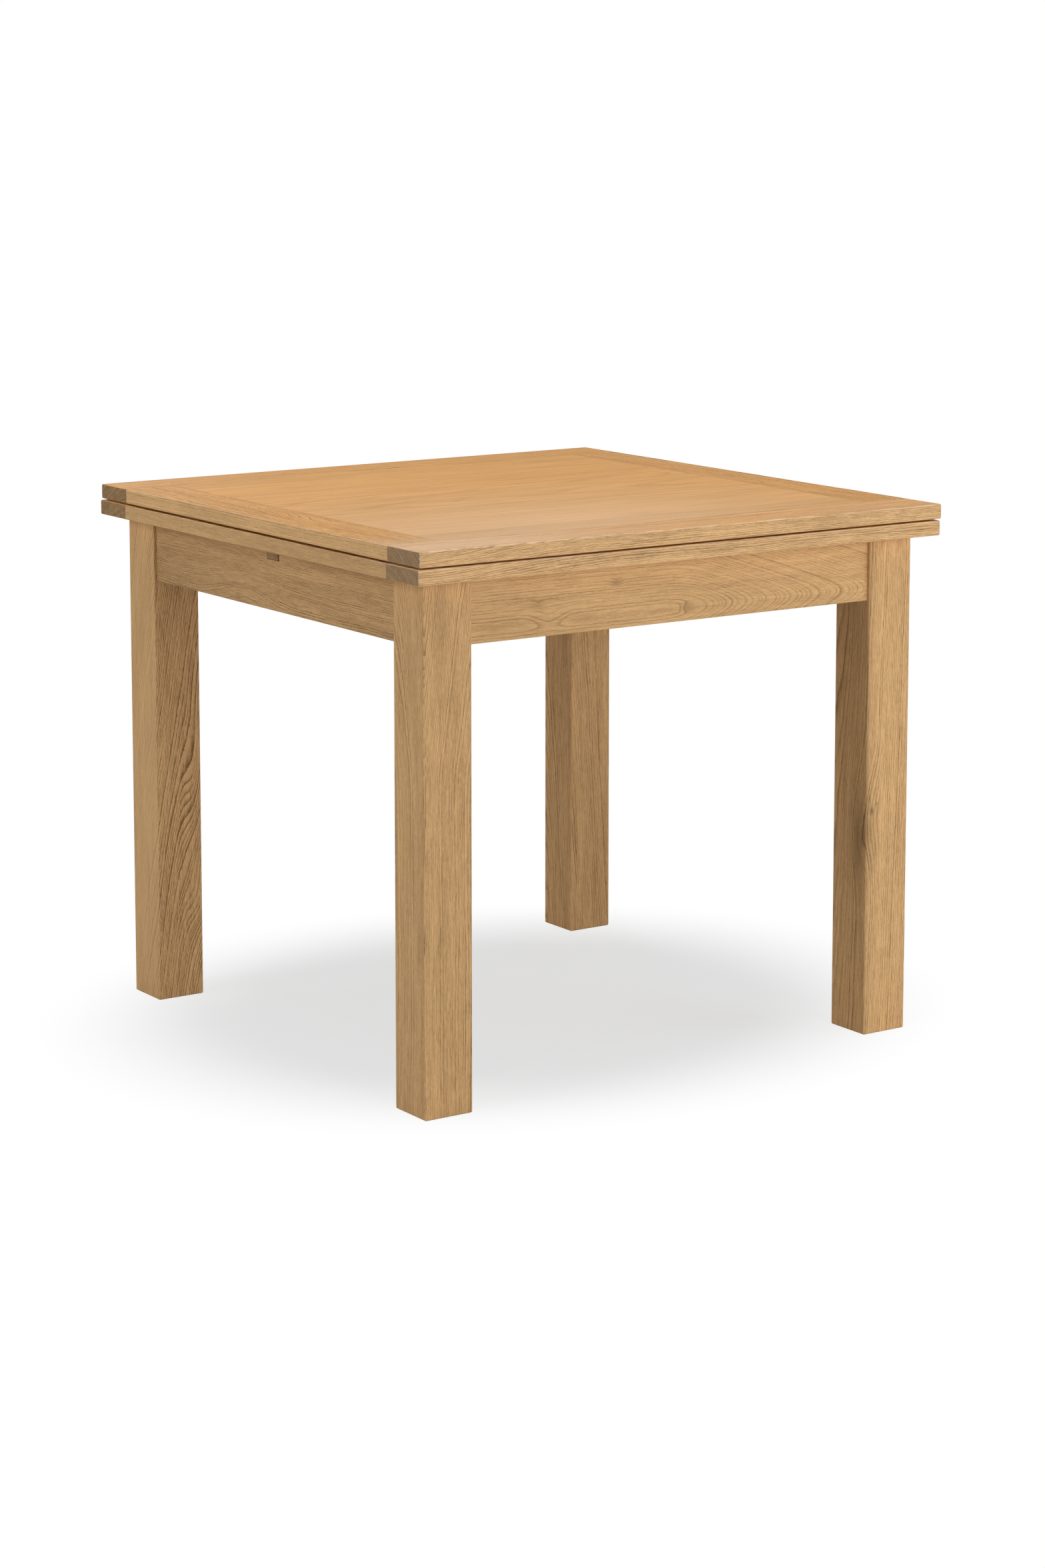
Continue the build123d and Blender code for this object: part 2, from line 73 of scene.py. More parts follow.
class Value:
    """A number that a node gives. Arithmetic on it adds Math nodes."""

    def __init__(self, graph: "Graph", socket: bpy.types.NodeSocket) -> None:
        """Keep the socket and the graph that it belongs to."""
        self.graph = graph
        self.socket = socket

    def __add__(self, other: Number) -> "Value":
        """Return the sum."""
        return self.graph.math("ADD", self, other)

    def __radd__(self, other: Number) -> "Value":
        """Return the sum, with a plain number first."""
        return self.graph.math("ADD", other, self)

    def __sub__(self, other: Number) -> "Value":
        """Return the difference."""
        return self.graph.math("SUBTRACT", self, other)

    def __rsub__(self, other: Number) -> "Value":
        """Return the difference, with a plain number first."""
        return self.graph.math("SUBTRACT", other, self)

    def __mul__(self, other: Number) -> "Value":
        """Return the product."""
        return self.graph.math("MULTIPLY", self, other)

    def __truediv__(self, other: Number) -> "Value":
        """Return the quotient."""
        return self.graph.math("DIVIDE", self, other)

    def __pow__(self, other: Number) -> "Value":
        """Return the power."""
        return self.graph.math("POWER", self, other)

    def __rpow__(self, other: Number) -> "Value":
        """Return the power of a plain number."""
        return self.graph.math("POWER", other, self)

    def __abs__(self) -> "Value":
        """Return the size without its sign."""
        return self.graph.math("ABSOLUTE", self)

    def root(self) -> "Value":
        """Return the square root."""
        return self.graph.math("SQRT", self)

    def floor(self) -> "Value":
        """Return the whole part."""
        return self.graph.math("FLOOR", self)

    def fraction(self) -> "Value":
        """Return the part after the point."""
        return self.graph.math("FRACT", self)

    def larger(self, other: Number) -> "Value":
        """Return the larger of two values."""
        return self.graph.math("MAXIMUM", self, other)

    def knee(self, start: float, bend: float) -> "Value":
        """Return zero up to a start, then the rise past it, with a soft bend between them."""
        return self.graph.math("SMOOTH_MAX", self - start, 0.0, bend)

    def rise(self, low: float, high: float) -> "Value":
        """Return a smooth step from 0 at low to 1 at high."""
        step = self.graph.node(
            "ShaderNodeMapRange",
            {"interpolation_type": "SMOOTHSTEP"},
            {"Value": self, "From Min": low, "From Max": high},
        )
        return Value(self.graph, step.outputs["Result"])


class Graph:
    """The node tree of a material or of the world, with one way to add a node."""

    NOISE_ROUGHNESS = 0.55
    SEED_SKEW = 1.7

    def __init__(self, tree: bpy.types.NodeTree) -> None:
        """Take a node tree and empty it."""
        self.tree = tree
        self.tree.nodes.clear()

    def node(
        self,
        kind: str,
        settings: Mapping[str, Any] | None = None,
        inputs: Mapping[str | int, Any] | None = None,
    ) -> bpy.types.Node:
        """Add a node.

        Args:
            kind: The node's type name.
            settings: Its settings, which are set first.
            inputs: A number, a colour, a socket or a Value for each input, by name or by index.

        Returns:
            The new node.
        """
        made = self.tree.nodes.new(kind)
        for name, setting in (settings or {}).items():
            setattr(made, name, setting)
        for name, given in (inputs or {}).items():
            if isinstance(given, Value):
                self.tree.links.new(given.socket, made.inputs[name])
            elif isinstance(given, bpy.types.NodeSocket):
                self.tree.links.new(given, made.inputs[name])
            else:
                made.inputs[name].default_value = given
        return made

    def math(self, operation: str, *operands: Number) -> Value:
        """Add a Math node.

        Args:
            operation: The node's operation.
            operands: Its inputs in order.

        Returns:
            Its result.
        """
        made = self.node("ShaderNodeMath", {"operation": operation}, dict(enumerate(operands)))
        return Value(self, made.outputs[0])

    def vector(self, operation: str, *operands: Any) -> bpy.types.NodeSocket:
        """Add a Vector Math node.

        Args:
            operation: The node's operation.
            operands: Its vector inputs in order.

        Returns:
            The socket of the vector that it gives.
        """
        made = self.node("ShaderNodeVectorMath", {"operation": operation}, dict(enumerate(operands)))
        return made.outputs["Vector"]

    def parts(self, vector: bpy.types.NodeSocket) -> list[Value]:
        """Return the X, Y and Z of a vector."""
        made = self.node("ShaderNodeSeparateXYZ", None, {"Vector": vector})
        return [Value(self, socket) for socket in made.outputs]

    def mix(self, share: Number, first: Any, second: Any) -> bpy.types.NodeSocket:
        """Blend two colours.

        Args:
            share: How much of the second colour there is, from 0 to 1.
            first: A colour or a socket.
            second: A colour or a socket.

        Returns:
            The socket of the blended colour.
        """
        made = self.node(
            "ShaderNodeMix",
            {"data_type": "RGBA", "clamp_factor": True},
            {0: share, 6: first, 7: second},
        )
        return made.outputs[2]

    def shaded(self, colour: Any, share: Number) -> bpy.types.NodeSocket:
        """Return a colour times a number."""
        made = self.node("ShaderNodeVectorMath", {"operation": "SCALE"}, {0: colour, "Scale": share})
        return made.outputs["Vector"]

    def blend(self, share: Any, first: Any, second: Any) -> bpy.types.NodeSocket:
        """Blend two shaders.

        Args:
            share: How much of the second shader there is, from 0 to 1.
            first: The first shader's socket.
            second: The second shader's socket.

        Returns:
            The socket of the blended shader.
        """
        made = self.node("ShaderNodeMixShader", None, {0: share, 1: first, 2: second})
        return made.outputs["Shader"]

    def surface(self, height: Value, relief: float, depth: float, inputs: Mapping[str, Any]) -> None:
        """Make the material's surface.

        Args:
            height: The height of its fine relief.
            relief: How strong the relief is.
            depth: How deep it is in metres.
            inputs: The other inputs of its shader.
        """
        bump = self.node("ShaderNodeBump", None, {"Strength": relief, "Distance": depth, "Height": height})
        shader = self.node("ShaderNodeBsdfPrincipled", None, {**inputs, "Normal": bump.outputs["Normal"]})
        self.node("ShaderNodeOutputMaterial", None, {"Surface": shader.outputs["BSDF"]})

    def seen(self) -> Value:
        """Tell what is looked at, also in metal or through glass, from what only gives light.

        Returns:
            1 for what is looked at, and 0 for the rest.
        """
        path = self.node("ShaderNodeLightPath").outputs
        rays = ("Is Camera Ray", "Is Glossy Ray", "Is Transmission Ray")
        camera, glossy, through = (Value(self, path[ray]) for ray in rays)
        return camera.larger(glossy).larger(through)

    def noise(
        self, place: bpy.types.NodeSocket, lengths: Triple, seed: float, detail: float = 2.0
    ) -> Value:
        """Add a noise pattern.

        Args:
            place: The coordinates.
            lengths: The size of its features along X, Y and Z in metres.
            seed: A number that moves the pattern.
            detail: How many finer layers it has.

        Returns:
            The pattern, about zero.
        """
        scaled = self.node(
            "ShaderNodeVectorMath",
            {"operation": "MULTIPLY_ADD"},
            {0: place, 1: tuple(1 / length for length in lengths), 2: (seed, self.SEED_SKEW * seed, -seed)},
        )
        pattern = self.node(
            "ShaderNodeTexNoise",
            {"noise_dimensions": "3D"},
            {
                "Vector": scaled.outputs["Vector"],
                "Scale": 1.0,
                "Detail": detail,
                "Roughness": self.NOISE_ROUGHNESS,
            },
        )
        return Value(self, pattern.outputs[0]) - 0.5


def new_material(name: str) -> tuple[bpy.types.Material, Graph]:
    """Make an empty node material.

    Args:
        name: Its name.

    Returns:
        The material and the graph of its nodes.
    """
    material = bpy.data.materials.new(name)
    material.use_nodes = True
    return material, Graph(material.node_tree)


def give(piece: bpy.types.Object, material: bpy.types.Material) -> None:
    """Put one material on a whole piece and report it.

    Args:
        piece: The piece.
        material: Its finish.
    """
    piece.data.materials.clear()
    piece.data.materials.append(material)
    log.info("%s has the finish %s", piece.name, material.name)


@dataclass(frozen=True)
class Figure:
    """A place where the growth rings swell, such as an eye, a curl or a knot.

    at is its middle and reach its size in metres along X, Y and Z. swell is how far the rings move
    in metres, stain how dark its middle is and pale how much paler it is. The darkening is a real mark at
    knots and dashes, a darker patch of tone on two aprons, and painted shade on the inner faces of the legs
    under the table. The paling is a painted sheen on the top.
    """

    at: Triple
    reach: Triple
    swell: float
    stain_and_painted_shade: float = 0.0
    pale: float = 0.0


@dataclass(frozen=True)
class OakBoard:
    """One board of oak as it was cut from the log, and how it was finished.

    pith is the log's middle across and through the board, from the board's own middle, and lean is how
    far it drifts for each metre along the grain. taper is how fast the log narrows past taper_from. ring
    is the width of a year's growth, wander and ripple are how far it strays, and ragged is how rough the
    rings' edges are, in rings. contrast, fibre and streak are the strength of the grain, of its fine fibres
    and of the broad streaks, and quiet is the share of the grain on the faces across X, Y and Z. tone is
    how light the board is. wear and chips are how pale the upper and the upright arrises are, and sheen is
    how much the lacquer shines. joints are lines across an axis at a place, and planks is the width of the
    planks that a panel is glued from. All lengths are in metres.
    """

    grain: Grain
    pith: tuple[float, float] = (0.03, -0.09)
    lean: tuple[float, float] = (0.0, 0.0)
    taper: float = 0.0
    taper_from: float = -1.0
    ring: float = 2.0 * MM
    wander: float = 9 * MM
    ripple: float = 1.6 * MM
    ragged: float = 0.30
    contrast: float = 1.0
    quiet: Triple = (1.0, 1.0, 1.0)
    fibre: float = 1.0
    streak: float = 0.45
    tone: float = 1.0
    wear: float = 0.35
    chips: float = 0.0
    sheen: float = 0.03
    figures: tuple[Figure, ...] = ()
    joints: tuple[tuple[int, float], ...] = ()
    planks: float = 0.0


@dataclass(frozen=True)
class Fleck:
    """A noise that is drawn out along the grain.

    run and width are the size of its flecks along and across the grain in metres, layer keeps it apart
    from the board's other noises, and detail is how many finer layers it has.
    """

    run: float
    width: float
    layer: float
    detail: float = 2.0


class OakPattern:
    """The patterns of one board: its rings, pores and fibres, its arrises and its joint lines.

    The first constants are the sizes of its flecks. GROWTH_SPAN and GROWTH_SPREAD are how often and how far
    the rings change from year to year, RING_FADE and RING_EDGE how a ring fades and where the next starts,
    RING_LEAST and RING_SPREAD how strong the rings are, and those named PLANK how a panel's planks differ.
    The last ones weigh what darkens the wood.
    """

    WANDER = Fleck(340 * MM, 55 * MM, 1.0)
    RIPPLE = Fleck(50 * MM, 16 * MM, 2.0)
    RAGGED = Fleck(10 * MM, 1.3 * MM, 3.0)
    PORES = Fleck(7 * MM, 0.7 * MM, 4.0, 1.0)
    STREAKS = Fleck(160 * MM, 10 * MM, 5.0, 3.0)
    CLOUDS = Fleck(400 * MM, 100 * MM, 6.0)
    RUBBING = Fleck(30 * MM, 6 * MM, 7.0)
    FIBRES = Fleck(24 * MM, 1.0 * MM, 8.0)
    PATCHES = Fleck(70 * MM, 10 * MM, 9.0)
    CHIP = 2.0 * MM
    GROWTH_SPAN = 90.0
    GROWTH_SPREAD = 7 * MM
    RING_FADE = 3.4
    RING_EDGE = 0.92
    RING_LEAST = 0.5
    RING_SPREAD = 0.7
    PATCH_LEAST = 0.5
    TAPER_BEND = 60 * MM
    ARRIS_TURN = (0.02, 0.24)
    JOINT_LINE = 0.6 * MM
    PLANK_LINE = 0.010
    PLANK_LINE_SHARE = 0.7
    PLANK_SHIFT = 0.30
    PLANK_DRIFT = 1.5
    PLANK_TONE = 0.10
    PLANK_APART = 3.0
    RING_SHARE = 0.8
    PORE_SHARE = 0.65
    ARRIS_SHARE = 0.65
    BASE_DARKNESS = 0.2
    LINE_DARKNESS = 0.36
    CLOUD_SHADE = 0.22

    def __init__(self, graph: Graph, piece: bpy.types.Object, board: OakBoard, seed: float) -> None:
        """Lay out a board's patterns.

        Args:
            graph: The graph of the board's material.
            piece: The CAD node of the board.
            board: How the board was cut.
            seed: A number that makes its pattern its own.
        """
        self.graph = graph
        self.board = board
        self.seed = seed
        coordinates = graph.node("ShaderNodeTexCoord")
        self.origin = coordinates.outputs["Object"]
        self.place = self.origin
        self.spots = graph.parts(self.origin)
        self.normal = graph.parts(coordinates.outputs["Normal"])
        self.facing = [abs(part) for part in self.normal]
        low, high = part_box(piece.name)
        middle = (low + high) / 2
        self.along, self.across, self.through = (
            self.spots[axis] - middle[axis] for axis in board.grain.value
        )
        self.end = self.facing[board.grain.value[0]]
        self.tone: Number = board.tone
        self.line: Number = 0.0
        self.stain_and_painted_shade: Number = 0.0
        # painted sheen of the pale figures
        self.pale: Number = 0.0
        if board.planks:
            self.split_planks()
        self.draw_joints()
        self.draw_rings()
        self.pores = self.drawn_out(self.PORES)
        self.fibres = self.drawn_out(self.FIBRES)
        self.streaks = self.drawn_out(self.STREAKS)
        self.clouds = self.drawn_out(self.CLOUDS)
        flat = self.facing[0].larger(self.facing[1]).larger(self.facing[2])
        self.arris = (1 - flat).rise(*self.ARRIS_TURN)

    def drawn_out(self, fleck: Fleck) -> Value:
        """Draw a noise out along the grain.

        Args:
            fleck: The size of its flecks.

        Returns:
            The noise, about zero.
        """
        lengths = [fleck.width, fleck.width, fleck.width]
        lengths[self.board.grain.value[0]] = fleck.run
        return self.graph.noise(self.place, tuple(lengths), self.seed + fleck.layer, fleck.detail)

    def chance(self, number: Value) -> bpy.types.Node:
        """Return a white noise node that gives each whole number its own value and colour."""
        inputs = {"W": number + self.seed}
        return self.graph.node("ShaderNodeTexWhiteNoise", {"noise_dimensions": "1D"}, inputs)

    def split_planks(self) -> None:
        """Split a panel into planks, each from its own place in the log and with its own tone."""
        count = self.across / self.board.planks + 0.5
        draw = self.chance(count.floor()).outputs["Color"]
        shift, drift, shade = self.graph.parts(draw)
        self.across = self.across + (shift - 0.5) * self.PLANK_SHIFT
        self.along = self.along + (drift - 0.5) * self.PLANK_DRIFT
        self.tone = (shade - 0.5) * self.PLANK_TONE + self.board.tone
        self.line = (1 - count.fraction().rise(0.0, self.PLANK_LINE)) * self.PLANK_LINE_SHARE
        self.place = self.graph.vector("ADD", self.place, self.graph.shaded(draw, self.PLANK_APART))

    def draw_joints(self) -> None:
        """Draw the lines where the board meets its neighbours."""
        for axis, at in self.board.joints:
            near = 1 - abs(self.spots[axis] - at).rise(0.0, self.JOINT_LINE)
            self.line = near if isinstance(self.line, float) else near.larger(self.line)

    def draw_rings(self) -> None:
        """Draw the growth rings as the distance from the pith, with their figures and ragged edges."""
        board = self.board
        off_across = self.across - self.along * board.lean[0] - board.pith[0]
        off_through = self.through - self.along * board.lean[1] - board.pith[1]
        radius = (off_across * off_across + off_through * off_through).root()
        radius = radius + self.drawn_out(self.WANDER) * board.wander
        radius = radius + self.drawn_out(self.RIPPLE) * board.ripple
        if board.taper:
            radius = radius + self.along.knee(board.taper_from, self.TAPER_BEND) * board.taper
        for figure in board.figures:
            hump = self.hump(figure)
            radius = radius + hump * figure.swell
            # darkening of the figures: real marks at knots, and painted shade on the inner faces of the legs
            if figure.stain_and_painted_shade:
                self.stain_and_painted_shade = hump * figure.stain_and_painted_shade + self.stain_and_painted_shade
            # painted sheen: the pale figures lighten the colour
            if figure.pale:
                self.pale = hump * figure.pale + self.pale
        growth = self.graph.node(
            "ShaderNodeTexNoise",
            {"noise_dimensions": "1D"},
            {"W": radius * self.GROWTH_SPAN + self.seed, "Scale": 1.0, "Detail": 2.0},
        )
        radius = radius + (Value(self.graph, growth.outputs[0]) - 0.5) * self.GROWTH_SPREAD
        phase = radius / board.ring + self.drawn_out(self.RAGGED) * board.ragged
        turn = phase.fraction()
        draw = Value(self.graph, self.chance(phase.floor()).outputs["Value"])
        strength = draw * self.RING_SPREAD + self.RING_LEAST
        self.ring_line = ((1 - turn) ** self.RING_FADE).larger(turn.rise(self.RING_EDGE, 1.0)) * strength
        patches = (self.drawn_out(self.PATCHES) + 0.5).rise(0.25, 0.75)
        self.early = self.ring_line * (patches * (1 - self.PATCH_LEAST) + self.PATCH_LEAST)

    def hump(self, figure: Figure) -> Value:
        """Raise a smooth hump at a figure.

        Args:
            figure: Its middle and its reach.

        Returns:
            1 in the middle of the figure, fading past its reach.
        """
        offset = self.graph.vector("SUBTRACT", self.origin, figure.at)
        offset = self.graph.vector("DIVIDE", offset, figure.reach)
        square = self.graph.node("ShaderNodeVectorMath", {"operation": "DOT_PRODUCT"}, {0: offset, 1: offset})
        return math.exp(-1) ** Value(self.graph, square.outputs["Value"])

    def darkness(self) -> Value:
        """Add up the rings, pores, fibres and streaks of the long grain.

        Returns:
            How dark the long grain is, from 0 to 1.
        """
        board = self.board
        contrast = sum(face * share for face, share in zip(self.facing, board.quiet)) * board.contrast
        contrast = contrast * (1 - self.arris * self.ARRIS_SHARE)
        fine = self.early * self.RING_SHARE + self.pores * self.PORE_SHARE + self.fibres * board.fibre
        return fine * contrast + self.streaks * board.streak + self.BASE_DARKNESS

    def wear(self) -> Value:
        """Rub the upper arrises along the grain, paint the sheen of the pale figures, and chip the upright
        arrises.

        Returns:
            How worn the board is, from 0 to 1.
        """
        wear_and_sheen = self.arris * (self.drawn_out(self.RUBBING) + 0.5).rise(0.30, 0.65)
        wear_and_sheen = wear_and_sheen * self.normal[2].rise(0.0, 0.3) * (1 - self.end.rise(0.05, 0.3)) * self.board.wear
        if isinstance(self.pale, Value):
            # painted sheen: the pale figures lighten the upward faces
            wear_and_sheen = wear_and_sheen + self.pale * self.normal[2].rise(0.5, 0.9)
        if not self.board.chips:
            return wear_and_sheen
        upright = (self.facing[0] * self.facing[1] * 2).rise(0.3, 0.9)
        specks = self.graph.noise(self.origin, (self.CHIP, self.CHIP, self.CHIP), self.seed).rise(0.0, 0.15)
        return wear_and_sheen + upright * specks * self.board.chips

    def shade(self) -> Value:
        """Bring the board's tone, clouds, lines, stains and painted shade together.

        Returns:
            The share of the colour's light that they leave.
        """
        shade = self.clouds * self.CLOUD_SHADE + self.tone
        if isinstance(self.line, Value):
            shade = shade * (1 - self.line * self.LINE_DARKNESS)
        # real marks at knots, and painted shade on the inner faces of the legs
        if isinstance(self.stain_and_painted_shade, Value):
            shade = shade * (1 - self.stain_and_painted_shade)
        return shade


@dataclass(frozen=True)
class OakFinish:
    """Oak with a satin lacquer: growth rings, pores, end grain, worn edges and joint lines."""

    late: Colour = (0.869, 0.536, 0.250, 1)
    early: Colour = (0.250, 0.130, 0.050, 1)
    end_late: Colour = (0.205, 0.118, 0.052, 1)
    end_early: Colour = (0.560, 0.365, 0.190, 1)
    # pale colour of worn arrises, also used for the painted sheen patches
    wear_and_sheen_colour: Colour = (0.930, 0.800, 0.640, 1)
    # painted light: a deeper gold on upward faces that stands in for warm light from above
    painted_top_light_tint: Triple = (1.00, 0.850, 0.605)
    end_ring: float = 1.1
    end_pore: float = 1.3
    end_streak: float = 0.6
    end_base: float = 0.03
    roughness: float = 0.52
    roughness_spread: float = 0.10
    ring_relief: float = 0.6
    relief: float = 0.22
    pore_depth: float = 0.2 * MM

    def dress(self, piece: bpy.types.Object, board: OakBoard, seed: float) -> None:
        """Make a board's material and put it on its piece.

        Args:
            piece: The CAD node of the board.
            board: How the board was cut.
            seed: A number that makes its pattern its own.
        """
        material, graph = new_material(f"oak_{piece.name}")
        oak = OakPattern(graph, piece, board, seed)
        colour = graph.mix(oak.darkness(), self.late, self.early)
        # painted warm top light: upward faces turn a deeper gold than the sides
        painted_warm_top = graph.vector("MULTIPLY", colour, self.painted_top_light_tint)
        colour = graph.mix(oak.facing[2].rise(0.5, 0.95), colour, painted_warm_top)
        bands = oak.ring_line * self.end_ring + oak.pores * self.end_pore
        bands = bands + oak.streaks * self.end_streak + self.end_base
        end_colour = graph.mix(bands, self.end_late, self.end_early)
        colour = graph.mix(oak.end.rise(0.55, 0.85), colour, end_colour)
        # worn arrises and the painted sheen patches turn towards a pale colour
        colour = graph.mix(oak.wear(), colour, self.wear_and_sheen_colour)
        colour = graph.shaded(colour, oak.shade())

        height = 1 - oak.early * self.ring_relief - oak.pores
        spread = oak.early * self.roughness_spread + oak.streaks * self.roughness_spread
        inputs = {
            "Base Color": colour,
            "Roughness": spread + self.roughness,
            "Specular IOR Level": board.sheen,
        }
        graph.surface(height, self.relief, self.pore_depth, inputs)
        give(piece, material)

    def dress_all(self, boards: Mapping[str, OakBoard], seed: float, step: float) -> None:
        """Dress several boards.

        Args:
            boards: How each board was cut, by the name of its CAD node.
            seed: The first board's seed.
            step: How far apart the seeds are.
        """
        for number, (name, board) in enumerate(boards.items()):
            self.dress(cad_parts[name], board, seed + step * number)


@dataclass(frozen=True)
class MetalFinish:
    """A brushed or plated metal with fine brush lines and a few dull patches."""

    name: str
    bright: Colour
    dull: Colour
    roughness: float
    brush: Triple = (0.4 * MM, 20 * MM, 0.4 * MM)
    patch: Triple = (12 * MM, 12 * MM, 12 * MM)
    brush_share: float = 0.4
    brush_roughness: float = 0.25
    patch_roughness: float = 0.2
    relief: float = 0.25
    brush_depth: float = 0.05 * MM

    def material(self) -> bpy.types.Material:
        """Make the material.

        Returns:
            The metal's material.
        """
        material, graph = new_material(self.name)
        place = graph.node("ShaderNodeTexCoord").outputs["Object"]
        lines = graph.noise(place, self.brush, 3.0)
        patches = graph.noise(place, self.patch, 5.0, 3.0)
        colour = graph.mix(patches.rise(-0.1, 0.3) + lines * self.brush_share, self.bright, self.dull)
        spread = lines * self.brush_roughness + patches * self.patch_roughness
        inputs = {"Base Color": colour, "Metallic": 1.0, "Roughness": spread + self.roughness}
        graph.surface(lines, self.relief, self.brush_depth, inputs)
        return material


BRASS = MetalFinish("brushed_brass", (0.78, 0.56, 0.24, 1), (0.52, 0.35, 0.13, 1), roughness=0.30)
ZINC = MetalFinish("zinc_plate", (0.66, 0.67, 0.68, 1), (0.42, 0.43, 0.44, 1), roughness=0.36)


@dataclass(frozen=True)
class FeltFinish:
    """Brown felt with matted fibres."""

    deep: Colour = (0.045, 0.025, 0.014, 1)
    light: Colour = (0.150, 0.090, 0.055, 1)
    fibre: float = 0.35 * MM
    stretch: float = 3.0
    nap: float = 0.2 * MM
    relief: float = 0.8
    roughness: float = 0.95
    sheen: float = 0.3

    def material(self) -> bpy.types.Material:
        """Make the material.

        Returns:
            The felt's material.
        """
        material, graph = new_material("brown_felt")
        place = graph.node("ShaderNodeTexCoord").outputs["Object"]
        long = self.stretch * self.fibre
        fibres = graph.noise(place, (self.fibre, long, self.fibre), 2.0, 4.0)
        crossed = graph.noise(place, (long, self.fibre, self.fibre), 9.0, 4.0)
        mat = fibres.larger(crossed)
        inputs = {
            "Base Color": graph.mix(mat.rise(-0.1, 0.35), self.deep, self.light),
            "Roughness": self.roughness,
            "Sheen Weight": self.sheen,
        }
        graph.surface(mat, self.relief, self.nap, inputs)
        return material


def start_piece() -> None:
    """Deselect everything, so that an operator acts on the next piece alone."""
    if bpy.context.mode != "OBJECT":
        bpy.ops.object.mode_set(mode="OBJECT")
    bpy.ops.object.select_all(action="DESELECT")


def select_faces(piece: bpy.types.Object, normal: Vector) -> None:
    """Enter edit mode with the faces selected that point one way.

    Args:
        piece: The active object.
        normal: The way that the faces point.
    """
    bpy.ops.object.mode_set(mode="EDIT")
    bpy.ops.mesh.select_mode(type="FACE")
    bpy.ops.mesh.select_all(action="DESELECT")
    bpy.ops.object.mode_set(mode="OBJECT")
    for face in piece.data.polygons:
        face.select = face.normal.dot(normal) > SAME_WAY
    bpy.ops.object.mode_set(mode="EDIT")


def copies(pattern: bpy.types.Object, places: Sequence[Matrix], name: str) -> bpy.types.Object:
    """Copy a piece to several places, join the copies and remove the pattern.

    Args:
        pattern: The piece, at the origin.
        places: Where each copy goes.
        name: The joined piece's name.

    Returns:
        The joined piece, at the origin, with its place in its mesh.
    """
    made = []
    for place in places:
        copy = bpy.data.objects.new(name, pattern.data.copy())
        copy.data.transform(place)
        bpy.context.scene.collection.objects.link(copy)
        made.append(copy)
    bpy.data.objects.remove(pattern)
    start_piece()
    for copy in made:
        copy.select_set(True)
    bpy.context.view_layer.objects.active = made[0]
    bpy.ops.object.join()
    made[0].name = name
    made[0].data.name = name
    return made[0]


@dataclass(frozen=True)
class Softbox:
    """One large soft lamp: where it hangs, how wide it is and how strong."""

    name: str
    place: Triple
    size: float
    power: float
    aim: Triple = (0.0, 0.0, 0.5)

    def build(self) -> None:
        """Hang the lamp and turn it to the table."""
        lamp = bpy.data.lights.new(self.name, "AREA")
        lamp.shape = "SQUARE"
        lamp.size = self.size
        lamp.energy = self.power
        softbox = bpy.data.objects.new(self.name, lamp)
        bpy.context.scene.collection.objects.link(softbox)
        softbox.location = self.place
        aim = Vector(self.aim) - Vector(self.place)
        softbox.rotation_euler = aim.to_track_quat("-Z", "Y").to_euler()


